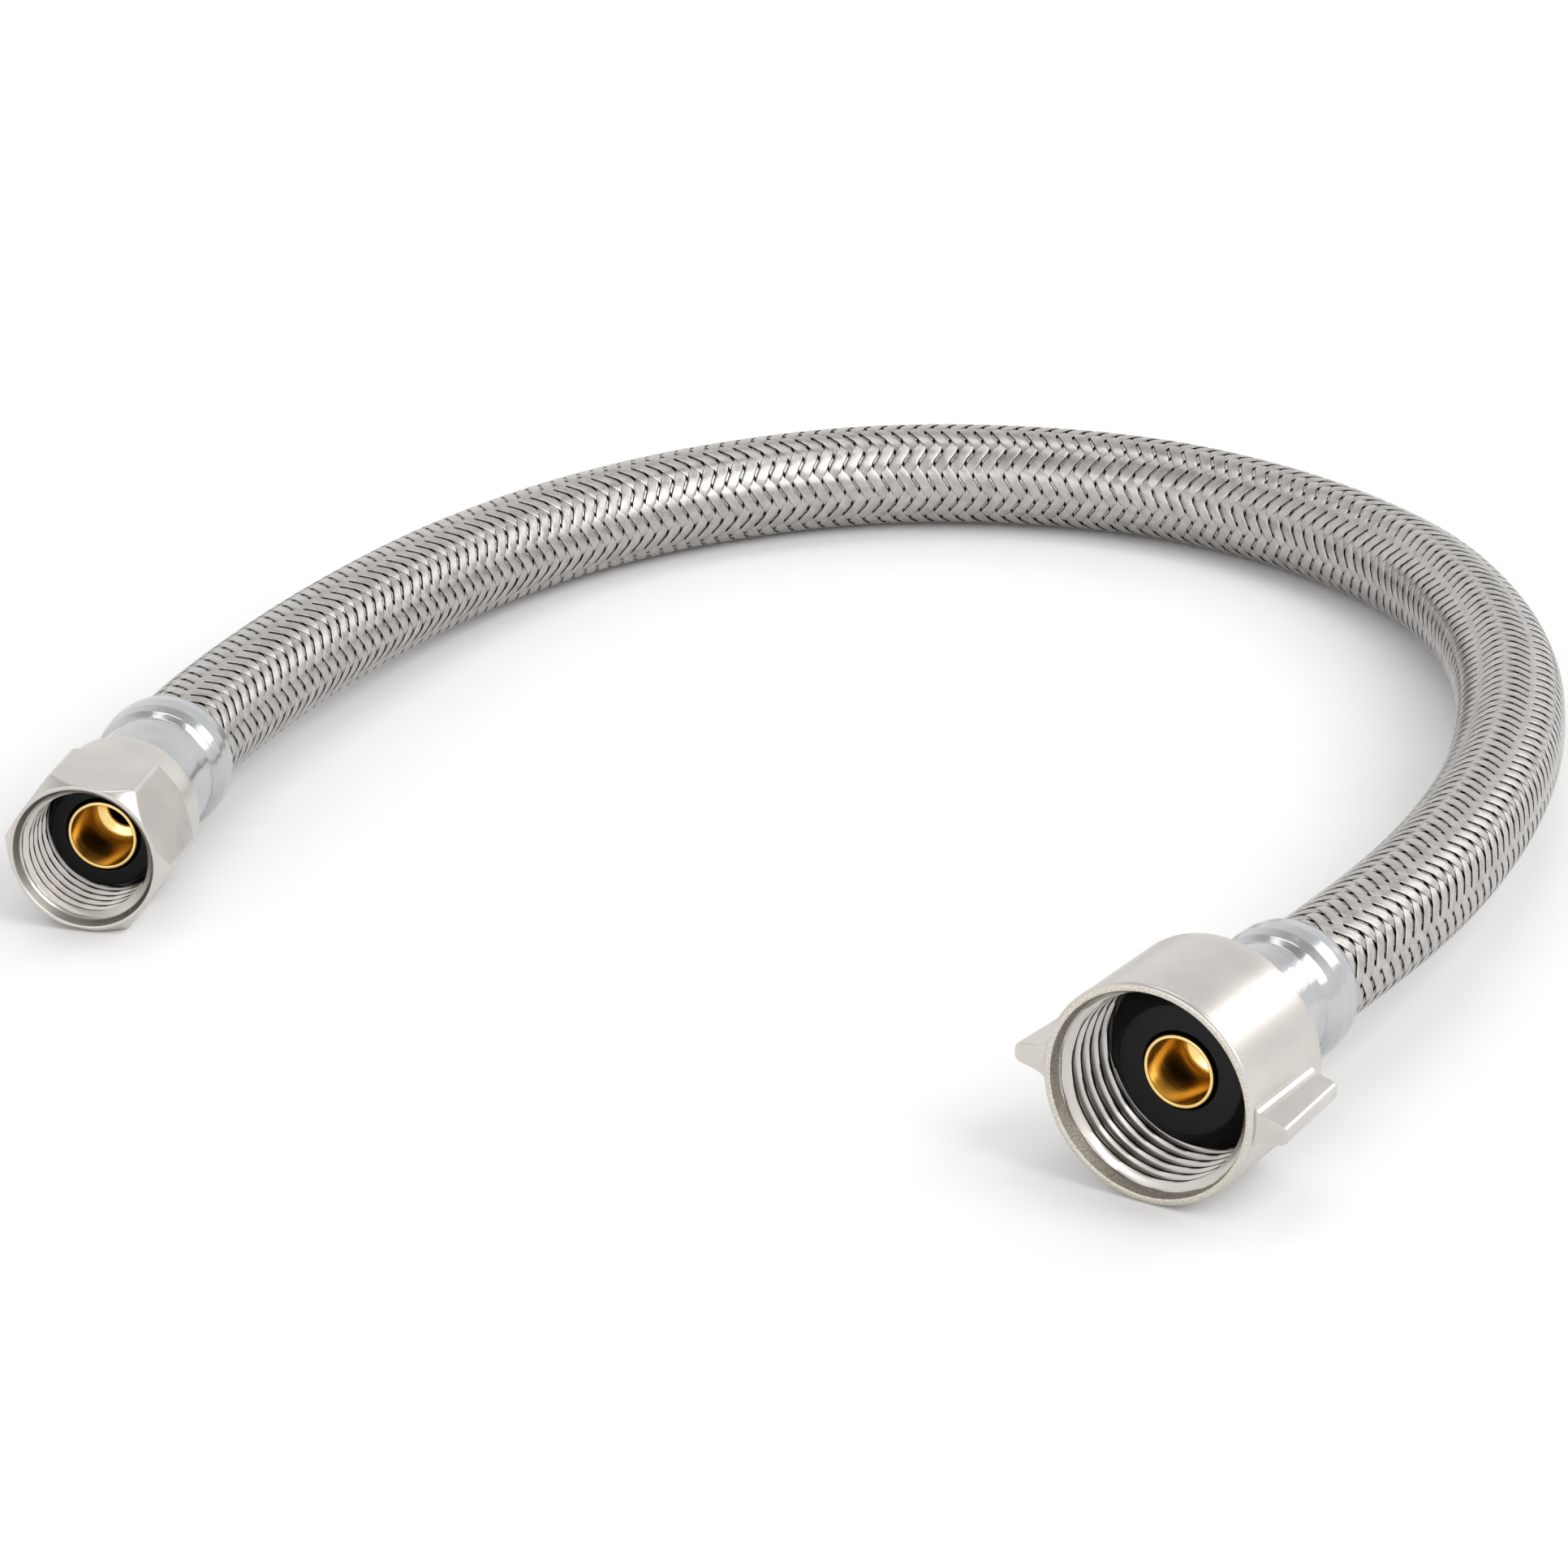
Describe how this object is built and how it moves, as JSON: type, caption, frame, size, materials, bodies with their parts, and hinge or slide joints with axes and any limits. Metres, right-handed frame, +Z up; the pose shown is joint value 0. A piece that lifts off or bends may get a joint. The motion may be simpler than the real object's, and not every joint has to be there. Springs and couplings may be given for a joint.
{
  "type": "braided supply line",
  "caption": "Flexible stainless-braided water supply hose with a winged faucet nut on one end and a hexagonal valve nut on the other, lying in a U.",
  "frame": {"origin": "on the surface it lies on, below the middle of the two end fittings' shared box, hose left out", "axes": "+X from the hexagonal end to the winged end, +Y from the nuts' mouths towards the hose's bend, +Z up"},
  "size_m": [0.1617, 0.1875, 0.0243],
  "materials": {
    "nickel_plate": "satin nickel-plated brass, warm grey, with fine turning marks",
    "ferrule_stainless": "bright pressed stainless sheet",
    "braid_stainless": "woven bright stainless ribbon",
    "insert_brass": "turned plain brass",
    "washer_rubber": "matt black rubber",
    "liner_rubber": "black rubber tube"
  },
  "bodies": {
    "hose_line": {"inner_tube": "liner_rubber", "braid_sleeve": "braid_stainless", "hex_insert": "insert_brass", "hex_ferrule": "ferrule_stainless", "hex_washer": "washer_rubber", "winged_insert": "insert_brass", "winged_ferrule": "ferrule_stainless", "winged_washer": "washer_rubber"},
    "hex_nut": {"hex_nut": "nickel_plate"},
    "winged_nut": {"winged_nut": "nickel_plate"}
  },
  "joints": [
    {"name": "hex_nut_spin", "type": "hinge", "parent": "hose_line", "child": "hex_nut", "pos_m": [-0.06786, -0.00736, 0.00893], "axis": [-0.1693, 0.9856, 0], "continuous": true},
    {"name": "winged_nut_spin", "type": "hinge", "parent": "hose_line", "child": "winged_nut", "pos_m": [0.0633, -0.0231, 0.01215], "axis": [0.1521, 0.9884, 0], "continuous": true}
  ]
}
